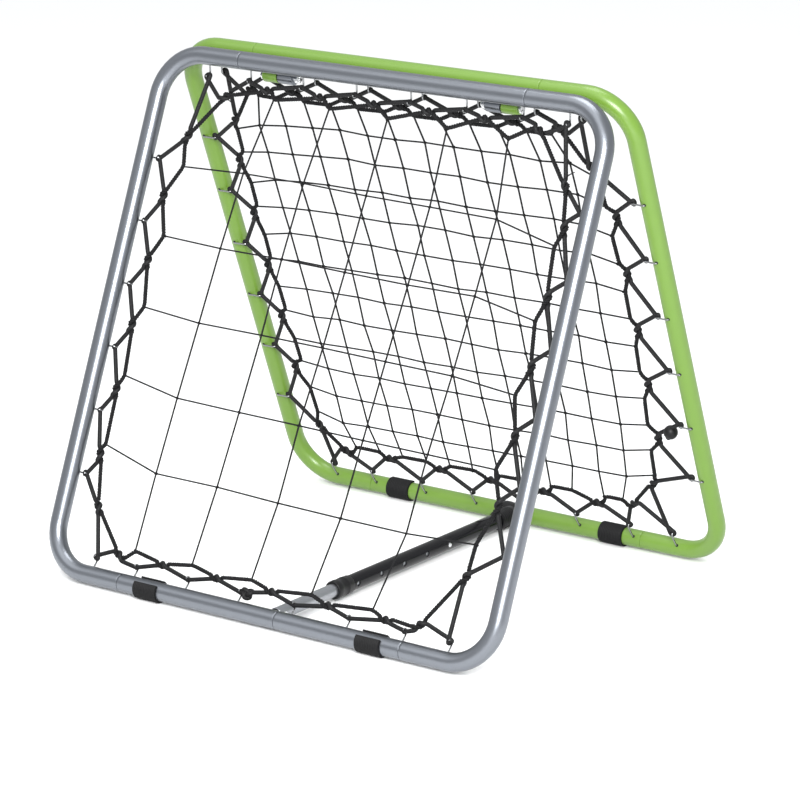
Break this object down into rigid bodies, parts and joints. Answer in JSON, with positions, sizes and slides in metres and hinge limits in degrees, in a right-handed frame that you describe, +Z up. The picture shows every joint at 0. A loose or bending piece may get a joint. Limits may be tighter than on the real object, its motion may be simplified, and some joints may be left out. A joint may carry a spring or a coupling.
{
  "type": "pitch back rebounder",
  "caption": "Folding ball rebounder: two netted tube frames hinged at the top, a telescopic strut below with a snap button and a row of holes, and rubber feet.",
  "frame": {"origin": "middle of the bounding box, on the ground", "axes": "+X to the right when looking at the front (silver) frame from outside, +Y from the front frame to the rear (green) frame, +Z up"},
  "size_m": [0.843, 0.6856, 0.7959],
  "materials": {
    "silver_paint": "satin grey-silver powder coat on steel tube",
    "green_paint": "semi-gloss lime green powder coat on steel tube",
    "black_paint": "gloss black powder coat on steel tube",
    "black_plastic": "satin moulded black plastic",
    "black_rubber": "matt ribbed black rubber",
    "net_cord": "knotted black polyethylene twine",
    "border_cord": "braided black edge cord",
    "elastic_cord": "black woven sheath over elastic cord",
    "zinc_plate": "bright zinc-plated steel"
  },
  "bodies": {
    "front_frame": {"front_bottom_rail_left": "silver_paint", "front_bottom_rail_right": "silver_paint", "front_bungee": "elastic_cord", "front_bungee_knot": "elastic_cord", "front_foot_left": "black_rubber", "front_foot_right": "black_rubber", "front_left_side_tube": "silver_paint", "front_net": "net_cord", "front_net_border": "border_cord", "front_right_side_tube": "silver_paint", "front_top_rail": "silver_paint", "hinge_left_bolt": "zinc_plate", "hinge_left_front_knuckle": "silver_paint", "hinge_left_nut": "zinc_plate", "hinge_left_washer": "black_plastic", "hinge_right_bolt": "zinc_plate", "hinge_right_front_knuckle": "silver_paint", "hinge_right_nut": "zinc_plate", "hinge_right_washer": "black_plastic", "strut_front_pin": "zinc_plate", "strut_front_pin_clip": "zinc_plate", "strut_front_tongue": "silver_paint"},
    "rear_frame": {"hinge_left_rear_knuckle": "green_paint", "hinge_right_rear_knuckle": "green_paint", "rear_bottom_rail_left": "green_paint", "rear_bottom_rail_right": "green_paint", "rear_bungee": "elastic_cord", "rear_bungee_toggle": "black_plastic", "rear_foot_left": "black_rubber", "rear_foot_right": "black_rubber", "rear_left_side_tube": "green_paint", "rear_net": "net_cord", "rear_net_border": "border_cord", "rear_right_side_tube": "green_paint", "rear_top_rail": "green_paint"},
    "strut_inner": {"strut_inner_tube": "silver_paint"},
    "snap_button": {"strut_snap_button": "zinc_plate"},
    "strut_outer": {"strut_collar": "black_plastic", "strut_outer_tube": "black_paint", "strut_rear_clip": "black_plastic"}
  },
  "joints": [
    {"name": "frame_fold", "type": "hinge", "parent": "front_frame", "child": "rear_frame", "pos_m": [0, 0, 0.75195], "axis": [1, 0, 0], "range_deg": [-9, 19.5]},
    {"name": "strut_inner_turn", "type": "hinge", "parent": "front_frame", "child": "strut_inner", "pos_m": [0.019, -0.30184, 0.018], "axis": [1, 0, 0], "range_deg": [-5, 10.5]},
    {"name": "strut_outer_turn", "type": "hinge", "parent": "rear_frame", "child": "strut_outer", "pos_m": [0.019, 0.32584, 0.017], "axis": [1, 0, 0], "range_deg": [-9.8, 4.8]},
    {"name": "snap_button_press", "type": "slide", "parent": "strut_inner", "child": "snap_button", "axis": [-1, 0, 0], "range_m": [0, 0.0036], "stiffness_N_per_m": 1500, "springref_m": -0.003, "deforming": ["strut_snap_button"]}
  ],
  "couplings": [
    {"joint": "strut_inner_turn", "follows": "frame_fold", "ratio": 0.5174},
    {"joint": "strut_outer_turn", "follows": "frame_fold", "ratio": -0.4826}
  ]
}
